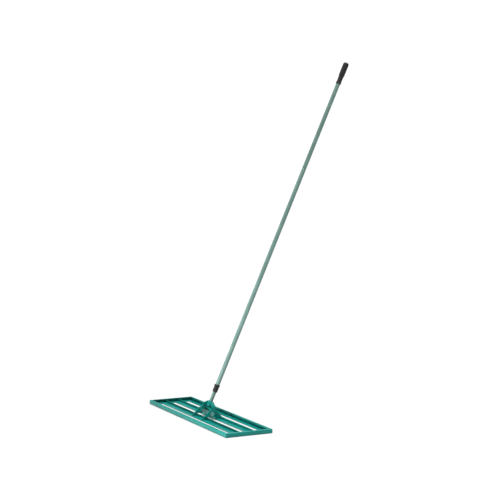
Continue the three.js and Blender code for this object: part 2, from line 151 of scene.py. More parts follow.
def set_roughness(tree, shader, value, low, high):
    tree.links.new(between(tree, value, low, high), shader.inputs["Roughness"])


def add_bump(tree, shader, *layers):
    """Stacks bumps. Each layer has a height value, a depth and a strength."""
    normal = None
    for layer in layers:
        bump = add_node(tree, "ShaderNodeBump", Strength=layer["strength"], Distance=layer["depth"])
        tree.links.new(layer["height"], bump.inputs["Height"])
        if normal:
            tree.links.new(normal, bump.inputs["Normal"])
        normal = bump.outputs["Normal"]
    tree.links.new(normal, shader.inputs["Normal"])


def new_material(name, **values):
    material = bpy.data.materials.new(name)
    material.use_nodes = True
    shader = material.node_tree.nodes["Principled BSDF"]
    for key, value in values.items():
        shader.inputs[key.replace("_", " ")].default_value = value
    return material, material.node_tree, shader


def rgb(red, green, blue):
    """A colour given in screen values of 0 to 255, as linear light by the sRGB curve."""
    linear = []
    for value in (red, green, blue):
        share = value / 255
        linear.append(share / 12.92 if share <= 0.04045 else ((share + 0.055) / 1.055) ** 2.4)
    return (*linear, 1)


WHITE = rgb(255, 255, 255)


def powder_coat():
    """Deep green gloss powder coat: orange peel, fine fleck and slow drift of tone."""
    material, tree, shader = new_material("green_powder_coat", IOR=1.4, Specular_IOR_Level=0.3)
    tone = two_tone(tree, noise(tree, scale=14, detail=4), rgb(6, 112, 104), rgb(12, 124, 116))
    fleck = two_tone(tree, noise(tree, scale=1800, detail=2), rgb(225, 225, 225), WHITE)
    set_colour(tree, shader, multiplied(tree, tone, fleck, strength=0.25))
    set_roughness(tree, shader, noise(tree, scale=60, detail=4), low=0.2, high=0.32)
    peel = noise(tree, scale=420, detail=2, roughness=0.4)
    grain = noise(tree, scale=1600, detail=2)
    add_bump(
        tree, shader,
        {"height": peel, "depth": 0.00012, "strength": 0.35},
        {"height": grain, "depth": 0.00003, "strength": 0.3},
    )
    return material


def pole_coat(name, low, high):
    """Satin grey-green coat on drawn tube, with faint streaks along the tube."""
    material, tree, shader = new_material(name, IOR=1.45, Metallic=0.15)
    streak = noise(tree, scale=300, detail=3, roughness=0.5, stretch=50)
    tone = two_tone(tree, noise(tree, scale=10, detail=3), low, high)
    shade = two_tone(tree, streak, rgb(222, 224, 223), WHITE)
    set_colour(tree, shader, multiplied(tree, tone, shade, strength=0.5))
    set_roughness(tree, shader, noise(tree, scale=120, detail=4), low=0.32, high=0.46)
    peel = noise(tree, scale=700, detail=2, roughness=0.4)
    add_bump(
        tree, shader,
        {"height": peel, "depth": 0.00005, "strength": 0.25},
        {"height": streak, "depth": 0.00003, "strength": 0.2},
    )
    return material


def metal(name, colour, darker, roughness, grain, scuff=0.07):
    """Plated or drawn steel: mottled tone and fine grain."""
    material, tree, shader = new_material(name, Metallic=0.9)
    mottle = noise(tree, scale=260, detail=4, roughness=0.6)
    set_colour(tree, shader, two_tone(tree, mottle, darker, colour))
    wear = noise(tree, scale=500, detail=3)
    set_roughness(tree, shader, wear, roughness - scuff, roughness + scuff)
    fine = noise(tree, scale=grain, detail=2, roughness=0.5)
    add_bump(tree, shader, {"height": fine, "depth": 0.00003, "strength": 0.4})
    return material


def moulded(name, low, high, roughness, grain, depth, scuff=0.08):
    """Moulded plastic: fine even grain, slow drift of tone and scuffed gloss."""
    material, tree, shader = new_material(name, IOR=1.46)
    set_colour(tree, shader, two_tone(tree, noise(tree, scale=90, detail=4), low, high))
    wear = noise(tree, scale=160, detail=4)
    set_roughness(tree, shader, wear, roughness - scuff, roughness + scuff)
    fine = noise(tree, scale=grain, detail=3, roughness=0.6)
    add_bump(tree, shader, {"height": fine, "depth": depth, "strength": 0.5})
    return material


green = powder_coat()
tube_coat = pole_coat("pole_coat", low=rgb(100, 132, 124), high=rgb(117, 149, 141))
stub_coat = pole_coat("stub_coat", low=rgb(88, 115, 108), high=rgb(100, 127, 120))
zinc = metal(
    "zinc_plate", colour=rgb(158, 220, 216), darker=rgb(126, 184, 180), roughness=0.36, grain=1500,
)
# A darker copy of the zinc plate for the washers: painted shade for the shadow round the bolt head
washer_zinc_painted_shade = metal(
    "washer_zinc_plate_painted_shade", colour=rgb(84, 104, 100), darker=rgb(62, 80, 76), roughness=0.45, grain=1500,
)
bright = metal(
    "bright_steel", colour=rgb(132, 186, 182), darker=rgb(102, 156, 152), roughness=0.3, grain=1400,
)
nylon = moulded(
    "pale_nylon", low=rgb(214, 217, 208), high=rgb(228, 230, 223), roughness=0.45, grain=2200,
    depth=0.00002,
)
black = moulded(
    "black_nylon", low=rgb(16, 18, 18), high=rgb(26, 28, 28), roughness=0.5, grain=2400,
    depth=0.00003,
)
soft_black = moulded(
    "grip_black", low=rgb(16, 17, 17), high=rgb(28, 30, 30), roughness=0.62, grain=2000,
    depth=0.00005,
)

# Shapes, drawn in millimetres

# A turned point nearer the axis than this lies on it
ON_AXIS = 1e-6

# Places along a weld nearer than this are one
ALONG_SAME = 1e-9

BEAD_SIDES = 10
BEAD_STEP = 0.8
BEAD_LEAST_STEPS = 8
BEAD_PITCH = 3.4
BEAD_RIPPLE = 0.07
BEAD_END_SHARE = 0.02
# A direction that no weld runs along
BEAD_REFERENCE = Vector((0.13, 0.31, 0.94))


def rounded(corners, closed=True, steps=6):
    """An outline through (across, up, radius) corners, each rounded to its radius."""
    points = []
    count = len(corners)
    for i, (across, up, radius) in enumerate(corners):
        here = Vector((across, up))
        if radius == 0 or (not closed and i in (0, count - 1)):
            points.append(tuple(here))
            continue
        back = (Vector(corners[i - 1][:2]) - here).normalized()
        ahead = (Vector(corners[(i + 1) % count][:2]) - here).normalized()
        half = back.angle(ahead) / 2
        centre = here + (back + ahead).normalized() * (radius / math.sin(half))
        start = here + back * (radius / math.tan(half)) - centre
        end = here + ahead * (radius / math.tan(half)) - centre
        first = math.atan2(start.y, start.x)
        sweep = (math.atan2(end.y, end.x) - first + math.pi) % TURN - math.pi
        for step in range(steps + 1):
            angle = first + sweep * step / steps
            points.append((centre.x + radius * math.cos(angle), centre.y + radius * math.sin(angle)))
    return points


def turned(profile, sides=96, shape=None):
    """A mesh turned about Z from (radius, height) points, whose radius shape may change round the turn."""
    mesh = bmesh.new()
    rings = []
    for radius, height in profile:
        if radius < ON_AXIS:
            rings.append([mesh.verts.new((0, 0, height * MM))])
            continue
        ring = []
        for i in range(sides):
            angle = TURN * i / sides
            size = shape(angle, radius, height) if shape else radius
            place = (size * math.cos(angle) * MM, size * math.sin(angle) * MM, height * MM)
            ring.append(mesh.verts.new(place))
        rings.append(ring)
    pairs = list(zip(rings, rings[1:]))
    if len(rings[0]) > 1:
        pairs.append((rings[-1], rings[0]))
    for lower, upper in pairs:
        if len(lower) == len(upper) == 1:
            continue
        for i in range(sides):
            j = (i + 1) % sides
            corners = [lower[0], lower[0]] if len(lower) == 1 else [lower[i], lower[j]]
            corners += [upper[0], upper[0]] if len(upper) == 1 else [upper[j], upper[i]]
            mesh.faces.new(list(dict.fromkeys(corners)))
    return mesh


def bar(outline, half_length):
    """A mesh with one outline in (Y, Z) along X. half_length(across, up) is where each point ends."""
    mesh = bmesh.new()
    ends = []
    for side in (-1, 1):
        ends.append([mesh.verts.new((side * half_length(y, z) * MM, y * MM, z * MM)) for y, z in outline])
    for i in range(len(outline)):
        j = (i + 1) % len(outline)
        mesh.faces.new((ends[0][i], ends[0][j], ends[1][j], ends[1][i]))
    mesh.faces.new(ends[0])
    mesh.faces.new(ends[1])
    return mesh


def bead(mesh, points, radius):
    """Adds a weld bead to a mesh: a rippled bar along a line of points, with rounded ends."""
    line = [Vector(point) for point in points]
    lengths = [0]
    for a, b in zip(line, line[1:]):
        lengths.append(lengths[-1] + (b - a).length)
    total = lengths[-1]
    steps = max(BEAD_LEAST_STEPS, int(total / BEAD_STEP))
    rings = []
    for step in range(steps + 1):
        place = total * step / steps
        piece = max(i for i in range(len(line) - 1) if lengths[i] <= place + ALONG_SAME)
        share = (place - lengths[piece]) / (lengths[piece + 1] - lengths[piece])
        centre = line[piece].lerp(line[piece + 1], share)
        along = (line[piece + 1] - line[piece]).normalized()
        side = along.cross(BEAD_REFERENCE).normalized()
        other = along.cross(side)
        end = min(place, total - place)
        swell = math.sqrt(max(BEAD_END_SHARE, 1 - max(0, 1 - end / radius) ** 2))
        ripple = 1 - BEAD_RIPPLE + BEAD_RIPPLE * math.cos(TURN * place / BEAD_PITCH)
        ring = []
        for i in range(BEAD_SIDES):
            angle = TURN * i / BEAD_SIDES
            offset = (side * math.cos(angle) + other * math.sin(angle)) * (radius * swell * ripple)
            ring.append(mesh.verts.new((centre + offset) * MM))
        rings.append(ring)
    for lower, upper in zip(rings, rings[1:]):
        for i in range(BEAD_SIDES):
            j = (i + 1) % BEAD_SIDES
            mesh.faces.new((lower[i], lower[j], upper[j], upper[i]))
    mesh.faces.new(rings[0])
    mesh.faces.new(rings[-1])


def circle(radius, height, count=48):
    """Points once round the axis, the last on the first."""
    angles = [TURN * i / count for i in range(count + 1)]
    return [(radius * math.cos(angle), radius * math.sin(angle), height) for angle in angles]


def merge(mesh, part, place):
    """Moves a part to its place and adds it to a mesh."""
    part.transform(place)
    data = bpy.data.meshes.new("merged_part")
    part.to_mesh(data)
    part.free()
    mesh.from_mesh(data)
    bpy.data.meshes.remove(data)


# Pieces

# Rounding of a cut edge and gap between neighbours, in millimetres
EDGE = 0.5
GAP = 0.3

# Vertices of a CAD node nearer than this, in metres, are one
SAME_PLACE = 2e-6

# Angles between faces, in degrees: up to the first they make one plane, from the second their edge is
# rounded, and up to the third they are shaded as one
ONE_PLANE = 1
ROUNDED_FROM = 40
SMOOTH = 35

ROUNDING_STEPS = 3


def add_piece(name, mesh, place, material, body, nodes, smooth=SMOOTH, weighted=False):
    """Puts a mesh in its place, makes it ride on its body and stand for its nodes."""
    mesh.transform(place)
    bmesh.ops.recalc_face_normals(mesh, faces=mesh.faces)
    data = bpy.data.meshes.new(name)
    mesh.to_mesh(data)
    mesh.free()
    data.materials.append(material)
    data.shade_smooth()
    data.set_sharp_from_angle(angle=math.radians(smooth))
    piece = bpy.data.objects.new(name, data)
    bpy.context.scene.collection.objects.link(piece)
    if weighted:
        piece.modifiers.new("even shading", "WEIGHTED_NORMAL").keep_sharp = True
    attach(piece, body)
    if nodes:
        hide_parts(*nodes)
    return piece


def pressed(node, material, body):
    """A plate piece from its CAD node, with its cut edges rounded."""
    mesh = bmesh.new()
    mesh.from_mesh(frame["nodes"][node].data)
    bmesh.ops.remove_doubles(mesh, verts=mesh.verts, dist=SAME_PLACE)
    one_plane = math.radians(ONE_PLANE)
    bmesh.ops.dissolve_limit(mesh, angle_limit=one_plane, verts=mesh.verts, edges=mesh.edges)
    place = Matrix.Identity(4)
    piece = add_piece(node + "_piece", mesh, place, material, body, [node], smooth=30, weighted=True)
    rounding = piece.modifiers.new("rounded edges", "BEVEL")
    rounding.width = EDGE * MM
    rounding.segments = ROUNDING_STEPS
    rounding.limit_method = "ANGLE"
    rounding.angle_limit = math.radians(ROUNDED_FROM)
    piece.modifiers.move(1, 0)


def frame_at(origin, turn):
    return Matrix.Translation(origin) @ turn.to_4x4()


head_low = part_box("front_rail")[0]
head_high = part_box("rear_rail")[1]
LENGTH = (head_high[0] - head_low[0]) / MM
DEPTH = (head_high[1] - head_low[1]) / MM
HEAD_FRAME = Matrix.Translation((0, (head_low[1] + head_high[1]) / 2, 0))
HANDLE_FRAME = frame_at(PIVOT, HANDLE_TURN)
BOLT_FRAME = frame_at(PIVOT, BOLT_TURN)
FORK_FRAME = frame_at(PIVOT, FORK_TURN)

# Head, in the frame of its middle. BEND is the outside radius of a fold.
SHEET = 2.5
BEND = 4
FLANGE = 33
LIP = 10
RAIL = 21
SLAT = 34
SLAT_HEIGHT = 14
FRONT_SLOT = 28.5
MIDDLE_SLOT = 45

rail_section = rounded([
    (FLANGE, 0, EDGE),
    (0, 0, BEND),
    (0, RAIL, BEND),
    (LIP, RAIL, EDGE),
    (LIP, RAIL - SHEET, EDGE),
    (SHEET, RAIL - SHEET, BEND - SHEET),
    (SHEET, SHEET, BEND - SHEET),
    (FLANGE, SHEET, EDGE),
])
for name, along, across, quarter in (
    ("front_rail", LENGTH, DEPTH, 0),
    ("right_end_rail", DEPTH, LENGTH, 1),
    ("rear_rail", LENGTH, DEPTH, 2),
    ("left_end_rail", DEPTH, LENGTH, 3),
):
    outline = [(y - across / 2, z) for y, z in rail_section]
    rail = bar(outline, lambda y, z: along / 2 - (y + across / 2) - GAP / 2)
    place = HEAD_FRAME @ Matrix.Rotation(quarter * TURN / 4, 4, "Z")
    add_piece(name + "_piece", rail, place, green, "head", [name], weighted=True)

slat_section = rounded([
    (0, 0, EDGE),
    (SLAT, 0, BEND),
    (SLAT, SLAT_HEIGHT, EDGE),
    (SLAT - SHEET, SLAT_HEIGHT, EDGE),
    (SLAT - SHEET, SHEET, BEND - SHEET),
    (0, SHEET, EDGE),
])
# The upright of a slat reaches over the flanges of the end rails
tab_section = rounded([
    (SLAT - SHEET, SHEET + GAP, EDGE),
    (SLAT, SHEET + GAP, EDGE),
    (SLAT, SLAT_HEIGHT, EDGE),
    (SLAT - SHEET, SLAT_HEIGHT, EDGE),
])
LEG_END = LENGTH / 2 - FLANGE - GAP
UPRIGHT_END = LENGTH / 2 - BEND - GAP
FRONT_SLAT = -DEPTH / 2 + FLANGE + FRONT_SLOT
REAR_SLAT = FRONT_SLAT + SLAT + MIDDLE_SLOT
for name, y in (("front_slat", FRONT_SLAT), ("rear_slat", REAR_SLAT)):
    slat = bar(slat_section, lambda across, up: LEG_END)
    for side in (-1, 1):
        tab = bar(tab_section, lambda across, up: (UPRIGHT_END - LEG_END) / 2)
        middle = side * (LEG_END + UPRIGHT_END) / 2
        merge(slat, tab, Matrix.Translation((middle * MM, 0, 0)))
    place = HEAD_FRAME @ Matrix.Translation((0, y * MM, 0))
    add_piece(name + "_piece", slat, place, green, "head", [name], weighted=True)

for node in ("left_lug", "right_lug"):
    pressed(node, green, "head")
pressed("fork_yoke", green, "fork")

# Welds of the head, all covered by the same coat. A bead has its radius, how far it stands off or sinks
# into its seam, and how far in from each end of the seam it starts. The faces of a lug are LUG_OUTSIDE and
# LUG_INSIDE from the middle of the head.
LUG_OUTSIDE = 61
LUG_INSIDE = 56
LUG_BEAD = 2.1
LUG_BEAD_OFF = 0.6
LUG_BEAD_RISE = 0.3
LUG_BEAD_FRONT_START = 8
LUG_BEAD_REAR_START = 5
LUG_BEAD_END = 6
LEG_BEAD = 1.7
LEG_BEAD_SINK = 0.5
LEG_BEAD_START = 3
LEG_BEAD_END = 5
UPRIGHT_BEAD = 1.4
UPRIGHT_BEAD_OFF = 0.6
UPRIGHT_BEAD_END = 1.5
MITRE_BEAD = 1.5
MITRE_BEAD_SINK = 0.4
MITRE_BEAD_START = 1.5
MITRE_BEAD_END = 2
WALL_BEAD_END = 1


def weld_lug(mesh, side):
    """Beads along both faces of a lug's foot, on both slats."""
    height = SHEET + LUG_BEAD_RISE
    for x in (side * (LUG_OUTSIDE + LUG_BEAD_OFF), side * (LUG_INSIDE - LUG_BEAD_OFF)):
        for slat_y, start in ((FRONT_SLAT, LUG_BEAD_FRONT_START), (REAR_SLAT, LUG_BEAD_REAR_START)):
            near = slat_y + start
            far = slat_y + SLAT - LUG_BEAD_END
            bead(mesh, [(x, near, height), (x, far, height)], LUG_BEAD)


def weld_slat(mesh, side, slat_y):
    """Beads at one end of a slat: across the end of its leg and up the end of its upright."""
    x = side * (LEG_END + GAP / 2)
    height = SHEET - LEG_BEAD_SINK
    near = slat_y + LEG_BEAD_START
    far = slat_y + SLAT - LEG_BEAD_END
    bead(mesh, [(x, near, height), (x, far, height)], LEG_BEAD)
    x = side * (UPRIGHT_END + UPRIGHT_BEAD_OFF)
    middle = slat_y + SLAT - SHEET / 2
    low = SHEET + UPRIGHT_BEAD_END
    high = SLAT_HEIGHT - UPRIGHT_BEAD_END
    bead(mesh, [(x, middle, low), (x, middle, high)], UPRIGHT_BEAD)


def weld_mitre(mesh, side, end):
    """Beads at one corner of the head: along the mitre of the flanges and up the inside of the walls."""
    def corner(inset, height):
        return (side * (LENGTH / 2 - inset), end * (DEPTH / 2 - inset), height)
    height = SHEET - MITRE_BEAD_SINK
    near = BEND + MITRE_BEAD_START
    far = FLANGE - MITRE_BEAD_END
    bead(mesh, [corner(near, height), corner(far, height)], MITRE_BEAD)
    inset = SHEET + MITRE_BEAD_SINK
    low = BEND + WALL_BEAD_END
    high = RAIL - BEND - WALL_BEAD_END
    bead(mesh, [corner(inset, low), corner(inset, high)], MITRE_BEAD)


welds = bmesh.new()
for side in (-1, 1):
    weld_lug(welds, side)
    for slat_y in (FRONT_SLAT, REAR_SLAT):
        weld_slat(welds, side, slat_y)
    for end in (-1, 1):
        weld_mitre(welds, side, end)
add_piece("head_welds", welds, HEAD_FRAME, green, "head", [], smooth=60)

# Pivot hardware, turned about the pivot
BOLT = 6
BOLT_HOLE = 6.3
BOLT_HEAD = 7.5
BOLT_POINT = 1.2
BOLT_BEYOND_NUT = 4
SHANK_IN_HEAD = 1
FLATS = 19
HEX_CHAMFER = 1.1
HEX_CHAMFER_SHARES = (0, 0.25, 0.5, 0.75, 1)
THREAD_PITCH = 1.75
THREAD_DEPTH = 1.05
THREAD_LENGTH = 20
THREAD_STEP = 0.35
THREAD_RINGS = 54
WASHER = 2.5
WASHER_RADIUS = 12
WASHER_EDGE = 0.6
BORE_EDGE = 0.2
NUT_HEX = 9.5
NUT_TOTAL = 13
NUT_COLLAR = 8.8
NUT_COLLAR_EDGE = 0.9
NUT_POCKET = 7.4
NUT_POCKET_DEPTH = 2.9
NUT_POCKET_EDGE = 0.3
NUT_RING = 2.6
NUT_RING_BORE = 6.1
NUT_RING_RADIUS = 7.1
NUT_RING_EDGE = 0.3
SLEEVE_RADIUS = 8.75
SLEEVE_EDGE = 0.5
FRICTION_RADIUS = 13.5
FRICTION_EDGE = 0.4

WASHER_SEAT = LUG_OUTSIDE + GAP
HEAD_SEAT = WASHER_SEAT + WASHER + GAP
NUT_END = -HEAD_SEAT - NUT_TOTAL
BOLT_END = NUT_END - BOLT_BEYOND_NUT


def hexagonal(angle, radius, height):
    """Cuts a radius back to a hexagon's flats."""
    return min(radius, FLATS / 2 / math.cos((angle + TURN / 12) % (TURN / 6) - TURN / 12))


def hex_profile(low, high):
    """A hexagon's corner with both ends chamfered, turned into a hexagon by hexagonal."""
    corner = FLATS / 2 / math.cos(TURN / 12)
    rise = HEX_CHAMFER * math.tan(TURN / 12)
    slope = [(corner - HEX_CHAMFER + share * HEX_CHAMFER, share * rise) for share in HEX_CHAMFER_SHARES]
    profile = [(0, low)]
    profile += [(radius, low + height) for radius, height in slope]
    profile += [(radius, high - height) for radius, height in reversed(slope)]
    return profile + [(0, high)]


def threaded(angle, radius, height):
    """A helical thread on the free end of the bolt."""
    if radius < BOLT or height > BOLT_END + THREAD_LENGTH:
        return radius
    wave = (height / THREAD_PITCH - angle / TURN) % 1
    return radius - THREAD_DEPTH * (1 - abs(2 * wave - 1))


def washer(name, low, thickness, inner, outer, edge, node, material, body, place):
    section = rounded([
        (inner, low, BORE_EDGE),
        (outer, low, edge),
        (outer, low + thickness, edge),
        (inner, low + thickness, BORE_EDGE),
    ], steps=4)
    add_piece(name, turned(section), place, material, body, [node])


bolt_head = turned(hex_profile(HEAD_SEAT, HEAD_SEAT + BOLT_HEAD), shape=hexagonal)
add_piece("bolt_head", bolt_head, BOLT_FRAME, zinc, "head", [], smooth=25)

shank = [(0, BOLT_END), (BOLT - BOLT_POINT, BOLT_END)]
shank += [(BOLT, BOLT_END + BOLT_POINT + i * THREAD_STEP) for i in range(THREAD_RINGS)]
shank += [(BOLT, HEAD_SEAT + SHANK_IN_HEAD), (0, HEAD_SEAT + SHANK_IN_HEAD)]
bolt_shank = turned(shank, sides=48, shape=threaded)
add_piece("bolt_shank", bolt_shank, BOLT_FRAME, zinc, "head", ["pivot_bolt"], smooth=50)

# Both washers take the darker zinc copy, whose darkness is painted shade
for name, low, node in (
    ("bolt_washer", WASHER_SEAT, "head_washer"),
    ("far_washer", -WASHER_SEAT - WASHER, "nut_washer"),
):
    washer(
        name, low, WASHER, BOLT_HOLE, WASHER_RADIUS, WASHER_EDGE, node,
        washer_zinc_painted_shade, "head", BOLT_FRAME,
    )

pocket_floor = NUT_END + NUT_POCKET_DEPTH
nut = [(BOLT_HOLE, -HEAD_SEAT)]
nut += reversed(hex_profile(-HEAD_SEAT - NUT_HEX, -HEAD_SEAT)[1:-1])
nut += rounded([
    (NUT_COLLAR, -HEAD_SEAT - NUT_HEX, 0),
    (NUT_COLLAR, NUT_END, NUT_COLLAR_EDGE),
    (NUT_POCKET, NUT_END, NUT_POCKET_EDGE),
    (NUT_POCKET, pocket_floor, 0),
    (BOLT_HOLE, pocket_floor, 0),
], closed=False, steps=5)
lock_nut_far = turned(nut, shape=hexagonal)
add_piece("lock_nut_far", lock_nut_far, BOLT_FRAME, zinc, "head", ["pivot_nut"], smooth=25)
washer(
    "nut_ring", NUT_END, NUT_RING, NUT_RING_BORE, NUT_RING_RADIUS, NUT_RING_EDGE, "nut_insert",
    nylon, "head", BOLT_FRAME,
)

sleeve_low, sleeve_high = (place[0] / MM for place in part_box("pivot_sleeve"))
washer(
    "spacer_sleeve", sleeve_low, sleeve_high - sleeve_low, BOLT_HOLE, SLEEVE_RADIUS, SLEEVE_EDGE,
    "pivot_sleeve", bright, "fork", FORK_FRAME,
)
for node in ("left_friction_washer", "right_friction_washer"):
    low, high = (place[0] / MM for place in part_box(node))
    washer(
        node + "_piece", low, high - low, BOLT_HOLE, FRICTION_RADIUS, FRICTION_EDGE, node,
        black, "fork", FORK_FRAME,
    )

# Handle, in its own frame from the pivot up: the socket under the yoke, the stub and its guide
YOKE_TOP = 58.5
STRAP = 5
SOCKET_BORE = 9.8
SOCKET_RADIUS = 13
SOCKET_LOW = 32
SOCKET_EDGE = 0.8
TUBE_EDGE = 0.4
STUB_BORE = 8
STUB_RADIUS = 9.5
STUB_LOW = 34
STUB_HIGH = 330
TOP_BEAD = 1.7
TOP_BEAD_RADIUS = 9.9
TOP_BEAD_RISE = 0.3
SOCKET_BEAD = 1.5
SOCKET_BEAD_RADIUS = 12.9
SOCKET_BEAD_DROP = 5.6
GUIDE_LOW = 312.3
GUIDE_SEAT = 330.3
GUIDE_HIGH = 342.3
SPIGOT_RADIUS = 7.7
IN_POLE_RADIUS = 9.75
GUIDE_EDGE = 1
GUIDE_RIM_EDGE = 0.3


def tube(name, inner, outer, low, high, node, material, body, edge=TUBE_EDGE):
    section = rounded([
        (inner, low, edge),
        (outer, low, edge),
        (outer, high, edge),
        (inner, high, edge),
    ], steps=3)
    add_piece(name, turned(section), HANDLE_FRAME, material, body, [node])


tube(
    "socket", SOCKET_BORE, SOCKET_RADIUS, SOCKET_LOW, YOKE_TOP - STRAP - GAP, "yoke_socket",
    green, "fork", SOCKET_EDGE,
)
tube("stub", STUB_BORE, STUB_RADIUS, STUB_LOW, STUB_HIGH, "stub_tube", stub_coat, "fork")

yoke_welds = bmesh.new()
bead(yoke_welds, circle(TOP_BEAD_RADIUS, YOKE_TOP + TOP_BEAD_RISE), TOP_BEAD)
bead(yoke_welds, circle(SOCKET_BEAD_RADIUS, YOKE_TOP - SOCKET_BEAD_DROP), SOCKET_BEAD)
add_piece("yoke_welds", yoke_welds, HANDLE_FRAME, green, "fork", [], smooth=60)

guide = rounded([
    (0, GUIDE_LOW, 0),
    (SPIGOT_RADIUS, GUIDE_LOW, GUIDE_EDGE),
    (SPIGOT_RADIUS, GUIDE_SEAT, 0),
    (IN_POLE_RADIUS, GUIDE_SEAT, GUIDE_RIM_EDGE),
    (IN_POLE_RADIUS, GUIDE_HIGH, GUIDE_EDGE),
    (0, GUIDE_HIGH, 0),
], closed=False)
add_piece("guide_plug", turned(guide), HANDLE_FRAME, nylon, "fork", ["stub_guide"])

# Twist lock: the collar with its fingers, and the ribbed nut round them
LOCK_NUT_LOW, LOCK_NUT_HIGH = span("lock_nut", HANDLE)
TIP, COLLAR_TOP = span("lock_body", HANDLE)
COLLAR = reach("lock_body", HANDLE)
COLLAR_LOW_EDGE = 0.9
COLLAR_TOP_EDGE = 1.2
FINGER_BORE = 9.8
FINGER_TIP = 10.5
FINGER_RADIUS = 11.1
FINGER_TAPER = 4
POLE_SOCKET = 11.55
POLE_SOCKET_DEPTH = 6
POLE_SOCKET_EDGE = 0.4
LOCK_NUT_MOUTH = 9.9
LOCK_NUT_MOUTH_EDGE = 0.3
LOCK_NUT_NOSE = 11.1
LOCK_NUT_NOSE_LENGTH = 2.4
LOCK_NUT_NOSE_EDGE = 0.4
LOCK_NUT_RADIUS = 13
LOCK_NUT_LOW_EDGE = 0.9
LOCK_NUT_HIGH_EDGE = 0.5
LOCK_NUT_TOP_RADIUS = 12.3
LOCK_NUT_TOP_SLOPE = 1.2
LOCK_NUT_TOP_EDGE = 0.4
LOCK_NUT_BORE = 11.4
LOCK_NUT_BORE_EDGE = 0.2
LOCK_NUT_TAPER_DROP = 5.7
RIBS = 24
RIB_SIDES = 16
RIB_DEPTH = 0.7
RIB_INNER = 12.2
RIB_MIDDLE = 0.5
RIB_STEEPNESS = 1.4

collar = rounded([
    (FINGER_BORE, TIP, 0),
    (FINGER_TIP, TIP, 0),
    (FINGER_RADIUS, TIP + FINGER_TAPER, 0),
    (FINGER_RADIUS, LOCK_NUT_HIGH + GAP, 0),
    (COLLAR, LOCK_NUT_HIGH + GAP, COLLAR_LOW_EDGE),
    (COLLAR, COLLAR_TOP, COLLAR_TOP_EDGE),
    (POLE_SOCKET, COLLAR_TOP, POLE_SOCKET_EDGE),
    (POLE_SOCKET, COLLAR_TOP - POLE_SOCKET_DEPTH, 0),
    (FINGER_BORE, COLLAR_TOP - POLE_SOCKET_DEPTH, 0),
], steps=5)
add_piece("lock_collar", turned(collar), HANDLE_FRAME, black, "pole", ["lock_body"])


def ribbed(angle, radius, height):
    """Ribs with flat-topped crests over the outer wall of the lock nut."""
    if radius < RIB_INNER:
        return radius
    crest = max(0, min(1, RIB_MIDDLE + RIB_STEEPNESS * math.cos(angle * RIBS)))
    return radius - RIB_DEPTH * (1 - crest)


lock_nut_section = rounded([
    (LOCK_NUT_MOUTH, LOCK_NUT_LOW, LOCK_NUT_MOUTH_EDGE),
    (LOCK_NUT_NOSE, LOCK_NUT_LOW, LOCK_NUT_NOSE_EDGE),
    (LOCK_NUT_RADIUS, LOCK_NUT_LOW + LOCK_NUT_NOSE_LENGTH, LOCK_NUT_LOW_EDGE),
    (LOCK_NUT_RADIUS, LOCK_NUT_HIGH - LOCK_NUT_TOP_SLOPE, LOCK_NUT_HIGH_EDGE),
    (LOCK_NUT_TOP_RADIUS, LOCK_NUT_HIGH, LOCK_NUT_TOP_EDGE),
    (LOCK_NUT_BORE, LOCK_NUT_HIGH, LOCK_NUT_BORE_EDGE),
    (LOCK_NUT_BORE, TIP + FINGER_TAPER, 0),
    (LOCK_NUT_MOUTH, TIP - LOCK_NUT_TAPER_DROP, 0),
], steps=4)
twist_nut = turned(lock_nut_section, sides=RIBS * RIB_SIDES, shape=ribbed)
add_piece("twist_nut", twist_nut, HANDLE_FRAME, black, "lock_nut", ["lock_nut"], smooth=50)

# Pole: three sections, joined by a bush in the lower one and a stud in the upper one
POLE_LOW = span("pole_lower", HANDLE)[0]
POLE_HIGH = span("pole_upper", HANDLE)[1]
POLE_NODES = ("pole_lower", "pole_middle", "pole_upper")
SECTION = (POLE_HIGH - POLE_LOW) / len(POLE_NODES)
POLE_BORE = 10.05
POLE_RADIUS = 11.25
BUSH_BORE = 5.3
BUSH_LENGTH = 30
STUD_RADIUS = 5
STUD_LENGTH = 24
STUD_EDGE = 1
STUD_HEAD = 26
STUD_HEAD_EDGE = 0.3

for i, node in enumerate(POLE_NODES):
    low = POLE_LOW + i * SECTION
    is_last = i == len(POLE_NODES) - 1
    high = low + SECTION - (0 if is_last else GAP)
    tube(node + "_tube", POLE_BORE, POLE_RADIUS, low, high, node, tube_coat, "pole")
for joint in range(1, len(POLE_NODES)):
    seam = POLE_LOW + joint * SECTION
    tube(
        "bush_%d" % joint, BUSH_BORE, IN_POLE_RADIUS, seam - GAP - BUSH_LENGTH, seam - GAP,
        "pole_bush_%d" % joint, zinc, "pole",
    )
    stud = rounded([
        (0, seam - STUD_LENGTH, 0),
        (STUD_RADIUS, seam - STUD_LENGTH, STUD_EDGE),
        (STUD_RADIUS, seam, 0),
        (IN_POLE_RADIUS, seam, STUD_HEAD_EDGE),
        (IN_POLE_RADIUS, seam + STUD_HEAD, STUD_HEAD_EDGE),
        (0, seam + STUD_HEAD, 0),
    ], closed=False)
    name = "stud_%d" % joint
    add_piece(name, turned(stud), HANDLE_FRAME, zinc, "pole", ["pole_" + name])

# Grip: ring, neck and a fluted part with a rounded end. Places along it are from its lower end.
GRIP_LOW = 1883
GRIP_HIGH = 2008.9
GRIP_RADIUS = 15.4
GRIP_END_ROUND = 10.5
GRIP_END_STEPS = 8
GRIP_CAP = 10
GRIP_BORE_EDGE = 0.3
GRIP_CAP_EDGE = 0.5
GRIP_RING_RADIUS = 14.25
GRIP_RING_LENGTH = 8
GRIP_RING_ROUND = 1.8
NECK_RADIUS = 13
NECK_START = 9
NECK_END = 44
NECK_START_ROUND = 1
NECK_END_ROUND = 4
SHOULDER_END = 48
SHOULDER_ROUND = 5
FLUTES = 16
FLUTE_SIDES = 12
FLUTE_DEPTH = 1.2
FLUTE_INNER = 12.5
FLUTE_POWER = 0.8


